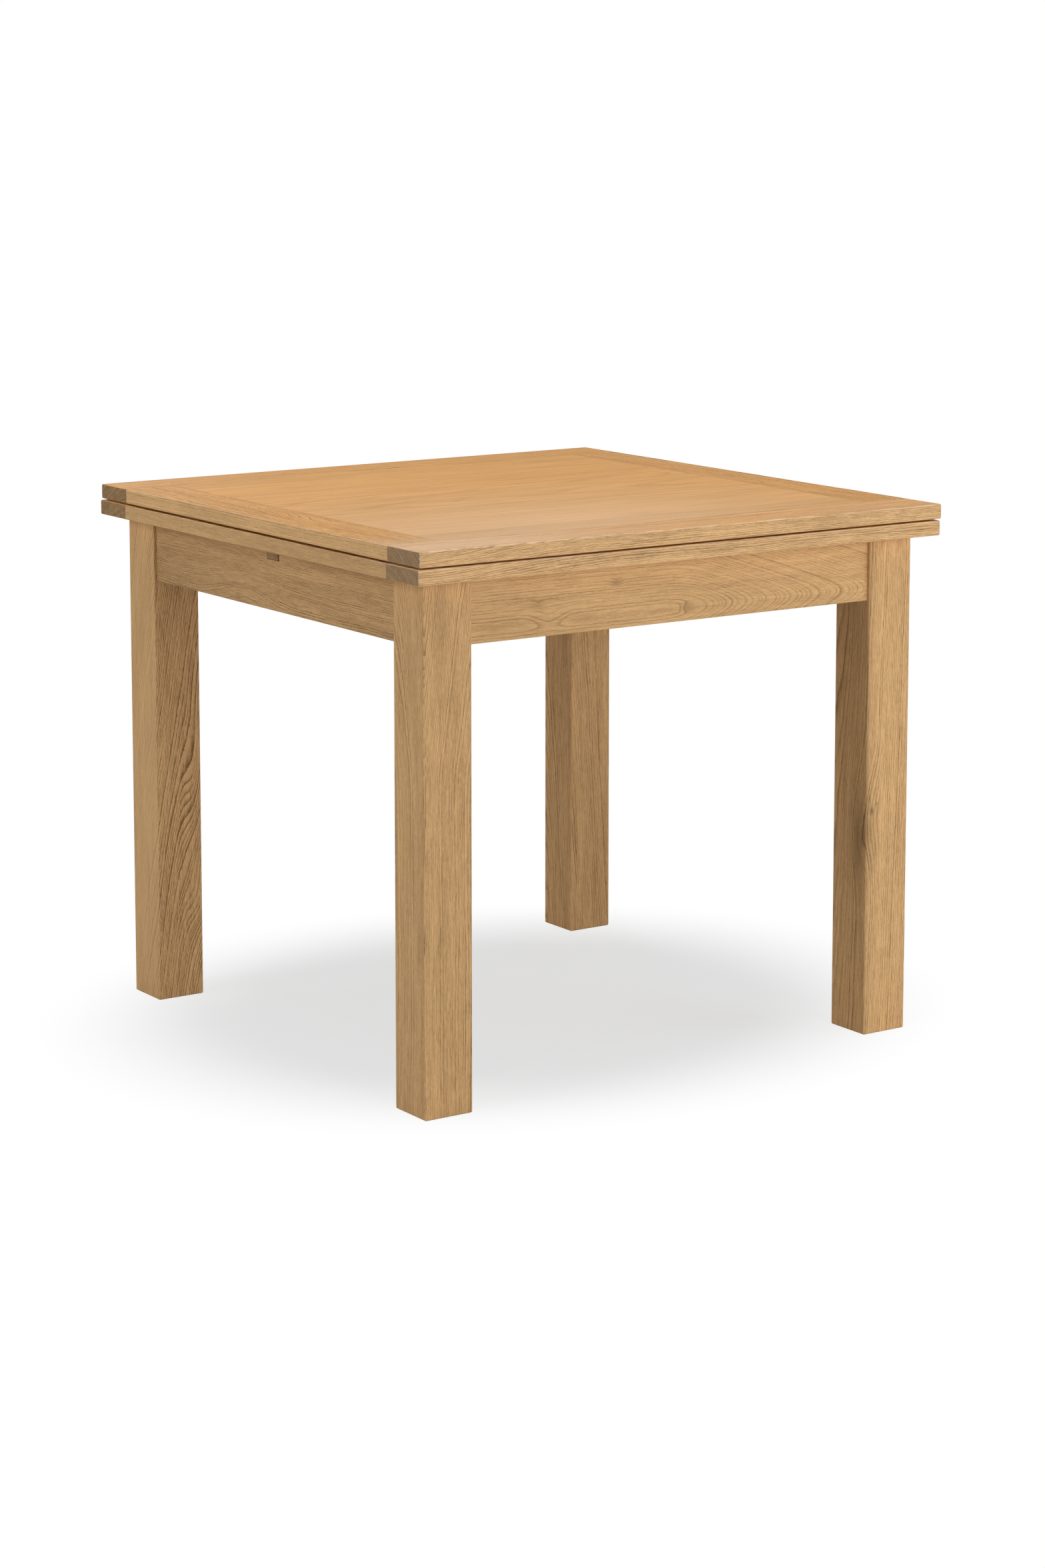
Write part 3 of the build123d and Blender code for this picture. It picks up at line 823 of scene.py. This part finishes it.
@dataclass
class Studio:
    """The camera, the lights, the white surround and the floor.

    lens_pixels is the focal length and view_centre the point straight ahead, both in pixels of the picture.
    Within shadow_core of its reach the floor keeps shadow_share of its own shade, and it is white from
    shadow_reach on, along X and Y from shadow_middle. sensor is in millimetres, other lengths in metres.
    """

    lens_pixels: float = 5375.41
    view_centre: tuple[float, float] = (784.0, 823.2)
    yaw: float = 0.5956160675
    pitch: float = 0.1394708499
    stand: Triple = (-2.9532, -4.38525, 1.44566)
    sensor: float = 36.0
    floor_size: float = 40.0
    floor_colour: Colour = (0.712, 0.746, 0.784, 1)
    shadow_share: float = 0.38
    shadow_core: float = 0.50
    shadow_reach: tuple[float, float] = (0.75, 0.65)
    shadow_middle: tuple[float, float] = (-0.01, 0.02)
    ambient: float = 0.07
    lamps: tuple[Softbox, ...] = (
        Softbox("overhead_softbox", (0.0, 0.0, 4.2), 3.0, 80.0),
        Softbox("front_softbox", (0.0, -4.55, 1.15), 2.2, 74.0),
        Softbox("right_softbox", (3.2, -3.2, 1.2), 2.2, 46.0),
        Softbox("left_softbox", (-4.1, 0.1, 1.9), 2.4, 64.0),
        Softbox("back_softbox", (0.6, 4.5, 1.5), 2.2, 40.0),
    )

    def build(self) -> None:
        """Set up the whole studio."""
        bpy.context.scene.view_settings.view_transform = "Standard"
        self.build_camera()
        self.build_world()
        for lamp in self.lamps:
            lamp.build()
        self.build_floor()
        log.info("studio ready")

    def build_camera(self) -> None:
        """Place the camera where the photograph was taken from."""
        camera = bpy.data.objects.new("camera", bpy.data.cameras.new("camera"))
        bpy.context.scene.collection.objects.link(camera)
        camera.location = self.stand
        camera.rotation_euler = (math.pi / 2 - self.pitch, 0.0, -self.yaw)
        camera.data.sensor_width = self.sensor
        camera.data.lens = self.lens_pixels / PHOTO_HEIGHT * self.sensor
        camera.data.shift_x = (PHOTO_WIDTH / 2 - self.view_centre[0]) / PHOTO_HEIGHT
        camera.data.shift_y = (self.view_centre[1] - PHOTO_HEIGHT / 2) / PHOTO_HEIGHT
        bpy.context.scene.camera = camera

    def build_world(self) -> None:
        """Make a surround that looks white and lights evenly and plainly."""
        world = bpy.data.worlds.new("white_surround")
        world.use_nodes = True
        bpy.context.scene.world = world
        graph = Graph(world.node_tree)
        light = graph.node("ShaderNodeBackground", None, {"Color": WHITE, "Strength": self.ambient})
        white = graph.node("ShaderNodeBackground", None, {"Color": WHITE, "Strength": 1.0})
        both = graph.blend(graph.seen(), light.outputs["Background"], white.outputs["Background"])
        graph.node("ShaderNodeOutputWorld", None, {"Surface": both})

    def build_floor(self) -> None:
        """Lay a pale floor that keeps the table's soft shadow and turns white further out."""
        start_piece()
        bpy.ops.mesh.primitive_plane_add(size=self.floor_size)
        floor = bpy.context.object
        floor.name = "floor"
        material, graph = new_material("pale_floor")
        place = graph.node("ShaderNodeTexCoord").outputs["Object"]
        x, y, _ = graph.parts(place)
        across = (x - self.shadow_middle[0]) / self.shadow_reach[0]
        along = (y - self.shadow_middle[1]) / self.shadow_reach[1]
        distance = (across * across + along * along).root()
        white_share = distance.rise(self.shadow_core, 1.0) * self.shadow_share + (1 - self.shadow_share)
        pale = graph.node("ShaderNodeBsdfDiffuse", None, {"Color": self.floor_colour})
        white = graph.node("ShaderNodeEmission", None, {"Color": WHITE, "Strength": 1.0})
        upper = graph.blend(graph.seen() * white_share, pale.outputs["BSDF"], white.outputs["Emission"])
        below = graph.node("ShaderNodeNewGeometry").outputs["Backfacing"]
        clear = graph.node("ShaderNodeBsdfTransparent")
        surface = graph.blend(below, upper, clear.outputs["BSDF"])
        graph.node("ShaderNodeOutputMaterial", None, {"Surface": surface})
        give(floor, material)


@dataclass
class Legs:
    """The four square legs."""

    oak: OakFinish
    seed: float = 11.0
    seed_step: float = 3.1
    boards: dict[str, OakBoard] = field(
        default_factory=lambda: {
            "leg_front_left": OakBoard(
                Grain.UPRIGHT,
                pith=(0.120, 0.090),
                taper=0.10,
                taper_from=0.10,
                ring=1.9 * MM,
                tone=0.93,
                figures=(
                    Figure((-0.422, -0.374, 0.700), (0.030, 0.018, 0.160), -0.005),
                    Figure((-0.397, -0.416, 0.700), (0.009, 0.030, 0.045), 0.0, 0.22),
                    Figure((-0.383, -0.416, 0.350), (0.060, 0.012, 0.400), 0.0, 0.06),
                ),
            ),
            "leg_back_left": OakBoard(
                Grain.UPRIGHT,
                pith=(0.100, -0.100),
                taper=0.16,
                ring=3.2 * MM,
                fibre=0.75,
                contrast=1.7,
                quiet=(0.35, 1.0, 1.0),
                tone=0.91,
                figures=(
                    Figure((-0.352, 0.339, 0.330), (0.024, 0.050, 0.130), 0.018),
                    Figure((-0.350, 0.339, 0.150), (0.022, 0.050, 0.060), 0.012),
                    # painted shade: the leg's inner front face is darkened under the table
                    Figure((-0.372, 0.339, 0.250), (0.050, 0.020, 0.300), 0.0, 0.09),
                ),
            ),
            "leg_front_right": OakBoard(
                Grain.UPRIGHT,
                pith=(-0.140, 0.050),
                taper=-0.03,
                ring=2.8 * MM,
                contrast=1.05,
                figures=(
                    Figure((0.350, -0.416, 0.350), (0.022, 0.040, 0.070), 0.010, 0.05),
                    Figure((0.355, -0.416, 0.336), (0.003, 0.020, 0.006), 0.0, 0.40),
                    Figure((0.364, -0.416, 0.346), (0.002, 0.020, 0.003), 0.0, 0.40),
                    Figure((0.345, -0.400, 0.290), (0.020, 0.020, 0.060), 0.014, 0.32),
                    # painted shade: the inner left face of the leg is darkened under the table
                    Figure((0.345, -0.378, 0.600), (0.014, 0.060, 0.300), 0.0, 0.20),
                    Figure((0.345, -0.378, 0.150), (0.014, 0.060, 0.300), 0.0, 0.20),
                ),
            ),
            "leg_back_right": OakBoard(
                Grain.UPRIGHT,
                pith=(-0.090, 0.040),
                taper=0.05,
                ring=2.8 * MM,
                contrast=1.0,
                streak=0.65,
                tone=0.90,
                figures=(
                    Figure((0.345, 0.372, 0.450), (0.030, 0.022, 0.090), 0.008, 0.06),
                    # painted shade: the inner front face is darker at the foot and at the top under the apron
                    Figure((0.390, 0.339, 0.060), (0.050, 0.020, 0.200), 0.0, 0.16),
                    Figure((0.390, 0.339, 0.660), (0.050, 0.020, 0.150), 0.0, 0.18),
                ),
            ),
        }
    )

    def dress(self) -> None:
        """Give each leg its oak."""
        self.oak.dress_all(self.boards, self.seed, self.seed_step)


@dataclass
class Aprons:
    """The four boards between the legs."""

    oak: OakFinish
    seed: float = 31.0
    seed_step: float = 4.3
    boards: dict[str, OakBoard] = field(
        default_factory=lambda: {
            "apron_front": OakBoard(
                Grain.LENGTHWISE,
                pith=(0.003, -0.027),
                wander=2.5 * MM,
                ripple=0.6 * MM,
                ragged=0.24,
                contrast=0.75,
                taper=0.32,
                taper_from=0.02,
                ring=3.3 * MM,
                tone=0.93,
                figures=(
                    Figure((-0.215, -0.410, 0.675), (0.026, 0.05, 0.014), 0.007),
                    Figure((-0.233, -0.410, 0.692), (0.010, 0.05, 0.006), 0.004, 0.18),
                    Figure((-0.102, -0.410, 0.713), (0.010, 0.05, 0.005), 0.004, 0.30),
                    Figure((-0.307, -0.410, 0.666), (0.008, 0.05, 0.005), 0.001, 0.16),
                    Figure((0.021, -0.410, 0.667), (0.012, 0.05, 0.006), 0.005, 0.28),
                    Figure((-0.290, -0.410, 0.690), (0.120, 0.05, 0.080), 0.0, 0.10),
                ),
            ),
            "apron_left": OakBoard(
                Grain.CROSSWISE,
                pith=(0.045, -0.080),
                tone=0.82,
                figures=(
                    Figure((-0.416, 0.075, 0.665), (0.05, 0.085, 0.045), -0.014),
                    Figure((-0.416, 0.093, 0.657), (0.05, 0.008, 0.005), 0.004, 0.22),
                    Figure((-0.416, 0.300, 0.700), (0.05, 0.200, 0.200), 0.0, 0.12),
                ),
            ),
            "apron_back": OakBoard(Grain.LENGTHWISE, pith=(-0.02, 0.03), taper=0.10),
            "apron_right": OakBoard(Grain.CROSSWISE, pith=(-0.03, 0.05), taper=0.06),
        }
    )

    def dress(self) -> None:
        """Give each apron its oak."""
        self.oak.dress_all(self.boards, self.seed, self.seed_step)


@dataclass
class Leaf:
    """One leaf of the top: two stiles, two rails and a panel of glued planks."""

    oak: OakFinish
    name: str
    seed: float
    seed_step: float = 2.7
    left_tone: float = 1.03
    border: float = 80 * MM
    tongue: float = 10 * MM
    plank_width: float = 124 * MM

    def boards(self) -> dict[str, OakBoard]:
        """Say how each board of the leaf was cut.

        Returns:
            The boards by the last part of their names.
        """
        low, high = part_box(f"{self.name}_panel")
        left, right = low.x + self.tongue, high.x - self.tongue
        front, back = low.y + self.tongue, high.y - self.tongue
        sides = ((1, front), (1, back))
        ends = ((0, left), (0, right))
        arcs = Figure((left - self.border / 2, -0.11, high.z), (0.022, 0.12, 0.05), 0.012)
        slant = Figure((left - self.border, front - self.border, high.z), (0.16, 0.05, 0.05), 0.016)
        # painted sheen: a paler patch on the top at its front-left corner
        wear_and_sheen = Figure((left, front - self.border / 2, high.z), (0.24, 0.09, 0.05), 0.0, pale=0.24)
        # painted sheen: a broad paler patch on the front of the panel
        painted_sheen_patch = Figure((-0.16, front, high.z), (0.46, 0.32, 0.05), 0.0, pale=0.24)
        dash = Figure((-0.284, 0.120, high.z), (0.010, 0.0025, 0.02), 0.0, 0.30)
        pin_knot = Figure((0.3956, -0.095, high.z), (0.003, 0.004, 0.02), 0.002, 0.55)
        return {
            "front_stile": OakBoard(
                Grain.LENGTHWISE,
                pith=(0.060, -0.100),
                contrast=1.1,
                wear=0.6,
                chips=0.8,
                sheen=0.16,
                figures=(slant, wear_and_sheen),
                joints=sides,
            ),
            "back_stile": OakBoard(Grain.LENGTHWISE, pith=(-0.05, -0.090), contrast=0.8, joints=sides),
            "left_rail": OakBoard(
                Grain.CROSSWISE,
                pith=(-0.05, -0.100),
                contrast=1.3,
                quiet=(0.55, 1.0, 1.0),
                tone=self.left_tone,
                figures=(arcs, wear_and_sheen),
                joints=(*sides, *ends),
            ),
            "right_rail": OakBoard(
                Grain.CROSSWISE,
                pith=(0.05, -0.090),
                contrast=1.1,
                figures=(pin_knot,),
                joints=(*sides, *ends),
            ),
            "panel": OakBoard(
                Grain.LENGTHWISE,
                pith=(0.02, -0.160),
                lean=(0.02, 0.03),
                ring=5 * MM,
                contrast=0.34,
                streak=0.50,
                figures=(painted_sheen_patch, dash),
                joints=(*sides, *ends),
                planks=self.plank_width,
            ),
        }

    def dress(self) -> None:
        """Give each board of the leaf its oak."""
        named = {f"{self.name}_{part}": board for part, board in self.boards().items()}
        self.oak.dress_all(named, self.seed, self.seed_step)


@dataclass
class Carcass:
    """The inner boards: bearers, corner blocks and the runner."""

    oak: OakFinish
    seed: float = 71.0
    seed_step: float = 3.0
    block_seed: float = 80.0
    block_seed_step: float = 3.3
    corners: tuple[str, ...] = ("front_left", "front_right", "back_left", "back_right")
    boards: dict[str, OakBoard] = field(
        default_factory=lambda: {
            "bearer_left": OakBoard(Grain.CROSSWISE, pith=(0.05, 0.03)),
            "bearer_middle": OakBoard(Grain.CROSSWISE, pith=(-0.04, 0.06)),
            "slide_runner": OakBoard(Grain.LENGTHWISE, pith=(0.05, -0.04), tone=1.15),
        }
    )

    def dress(self) -> None:
        """Give each inner board its oak."""
        self.oak.dress_all(self.boards, self.seed, self.seed_step)
        block = OakBoard(Grain.UPRIGHT, pith=(0.06, 0.05))
        blocks = {f"corner_block_{corner}": block for corner in self.corners}
        self.oak.dress_all(blocks, self.block_seed, self.block_seed_step)


@dataclass
class Screws:
    """Countersunk wood screws with a slot, which stand for one node of plain screws."""

    node: str
    body: str
    slot: str
    name: str
    places: list[Matrix]
    length: float
    head_radius: float = 4 * MM
    shank_radius: float = 2 * MM
    slot_width: float = 1.0 * MM
    slot_depth: float = 1.1 * MM
    tip_share: float = 0.3
    eased_edge: float = 0.12 * MM
    edge_segments: int = 2
    sides: int = 24

    def build(self, material: bpy.types.Material) -> None:
        """Model one screw, copy it to its places and dress the copies.

        Args:
            material: The metal that it gets.
        """
        head = self.head_radius - self.shank_radius
        start_piece()
        bpy.ops.mesh.primitive_cone_add(
            vertices=self.sides,
            radius1=self.shank_radius,
            radius2=self.head_radius,
            depth=head,
            location=(0, 0, -head / 2),
        )
        screw = bpy.context.object
        bpy.ops.object.transform_apply(location=True, rotation=True, scale=True)
        select_faces(screw, Vector((0, 0, -1)))
        shank = self.length - head - self.shank_radius
        bpy.ops.mesh.extrude_region_move(TRANSFORM_OT_translate={"value": (0, 0, -shank)})
        bpy.ops.mesh.extrude_region_move(TRANSFORM_OT_translate={"value": (0, 0, -self.shank_radius)})
        bpy.ops.transform.resize(value=(self.tip_share, self.tip_share, 1.0))
        bpy.ops.object.mode_set(mode="OBJECT")
        self.cut_slot(screw)
        piece = copies(screw, self.places, self.name)
        give(piece, material)
        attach(piece, self.body)
        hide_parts(self.node)

    def cut_slot(self, screw: bpy.types.Object) -> None:
        """Cut the driver's slot across the head.

        Args:
            screw: The screw, with the face of its head at the origin.
        """
        start_piece()
        bpy.ops.mesh.primitive_cube_add(size=1.0)
        cutter = bpy.context.object
        cutter.scale = (4 * self.head_radius, self.slot_width, 2 * self.slot_depth)
        bpy.ops.object.transform_apply(location=True, rotation=True, scale=True)
        start_piece()
        bpy.context.view_layer.objects.active = screw
        screw.select_set(True)
        cut = screw.modifiers.new("slot", "BOOLEAN")
        cut.operation = "DIFFERENCE"
        cut.object = cutter
        bpy.ops.object.modifier_apply(modifier=cut.name)
        edge = screw.modifiers.new("edge", "BEVEL")
        edge.width = self.eased_edge
        edge.segments = self.edge_segments
        edge.limit_method = "ANGLE"
        bpy.ops.object.modifier_apply(modifier=edge.name)
        bpy.data.objects.remove(cutter)


@dataclass
class Hinges:
    """The brass butt hinges: their plates and pins stay as they are, and their screws get slots."""

    brass: MetalFinish
    pin_x: float = 449.65 * MM
    row_from_pin: float = 28 * MM
    spacing: float = 34 * MM
    middles: tuple[float, ...] = (-320 * MM, 0.0, 320 * MM)
    screw_length: float = 15 * MM
    first_twist: float = 0.6
    next_twist: float = 1.3

    def build(self) -> None:
        """Dress the plates and pins and model the screws."""
        metal = self.brass.material()
        for name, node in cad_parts.items():
            if name.startswith("hinge_") and not name.endswith("_screws"):
                give(node, metal)
        for leaf, turn in (("lower", 0.0), ("flip", math.pi)):
            node = f"hinge_{leaf}_screws"
            low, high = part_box(node)
            face = high.z if leaf == "lower" else low.z
            places = []
            for number, (middle, side) in enumerate((m, s) for m in self.middles for s in (-1, 1)):
                spot = Vector((self.pin_x - self.row_from_pin, middle + side * self.spacing / 2, face))
                twist = Matrix.Rotation(self.first_twist + self.next_twist * number, 4, "Z")
                places.append(Matrix.Translation(spot) @ Matrix.Rotation(turn, 4, "X") @ twist)
            name = f"hinge_{leaf}_slotted_screws"
            Screws(node, f"{leaf}_leaf", "brass", name, places, self.screw_length).build(metal)


@dataclass
class Fittings:
    """The steel fittings under the top."""

    steel: MetalFinish
    plain: tuple[str, ...] = (
        "leg_bolts",
        "leg_bolt_washers",
        "leg_inserts",
        "corner_block_screws",
        "stop_pin",
    )
    runner_screw_count: int = 5
    first_twist: float = 0.4
    next_twist: float = 0.9

    def build(self) -> None:
        """Dress the bolts and model the runner's screws."""
        metal = self.steel.material()
        for name in self.plain:
            give(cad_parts[name], metal)
        low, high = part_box("runner_screws")
        radius = (high.y - low.y) / 2
        step = (high.x - low.x - 2 * radius) / (self.runner_screw_count - 1)
        places = []
        for number in range(self.runner_screw_count):
            spot = Vector((low.x + radius + number * step, low.y + radius, low.z))
            twist = Matrix.Rotation(self.first_twist + self.next_twist * number, 4, "Z")
            places.append(Matrix.Translation(spot) @ Matrix.Rotation(math.pi, 4, "X") @ twist)
        name, length = "runner_slotted_screws", high.z - low.z
        Screws("runner_screws", "lower_leaf", "steel", name, places, length).build(metal)


@dataclass
class FeltPads:
    """The felt pads that hold the closed leaves apart."""

    felt: FeltFinish
    radius: float = 6 * MM
    sides: int = 40
    edge: float = 0.5 * MM
    edge_segments: int = 3
    body_share: float = 0.8
    crown_shares: tuple[float, ...] = (0.12, 0.08)
    crown_step: float = 0.9 * MM
    smooth_angle: float = math.radians(50)

    def build(self) -> None:
        """Model one pad with a rounded rim and a slight crown, copy it to the corners and dress it."""
        low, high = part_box("spacer_pads")
        thickness = high.z - low.z
        start_piece()
        body = self.body_share * thickness
        bpy.ops.mesh.primitive_cylinder_add(
            vertices=self.sides, radius=self.radius, depth=body, location=(0, 0, body / 2)
        )
        pad = bpy.context.object
        bpy.ops.object.transform_apply(location=True, rotation=True, scale=True)
        select_faces(pad, Vector((0, 0, 1)))
        for share in self.crown_shares:
            bpy.ops.mesh.inset(thickness=self.crown_step)
            bpy.ops.transform.translate(value=(0, 0, share * thickness))
        bpy.ops.object.mode_set(mode="OBJECT")
        rim = pad.modifiers.new("rim", "BEVEL")
        rim.width = self.edge
        rim.segments = self.edge_segments
        rim.limit_method = "ANGLE"
        bpy.ops.object.modifier_apply(modifier=rim.name)
        bpy.ops.object.shade_smooth_by_angle(angle=self.smooth_angle)
        corners_x = (low.x + self.radius, high.x - self.radius)
        corners_y = (low.y + self.radius, high.y - self.radius)
        places = [Matrix.Translation((x, y, low.z)) for x in corners_x for y in corners_y]
        pads = copies(pad, places, "felt_pads")
        give(pads, self.felt.material())
        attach(pads, "lower_leaf")
        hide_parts("spacer_pads")


def main() -> None:
    """Build the studio, dress the boards and model the small pieces."""
    logging.basicConfig(level=logging.INFO, format="%(message)s")
    Studio().build()
    oak = OakFinish()
    Legs(oak).dress()
    Aprons(oak).dress()
    Leaf(oak, "lower_leaf", 101.0, left_tone=0.87).dress()
    Leaf(oak, "flip_leaf", 131.0).dress()
    Carcass(oak).dress()
    Hinges(BRASS).build()
    Fittings(ZINC).build()
    FeltPads(FeltFinish()).build()


if __name__ == "__main__":
    main()
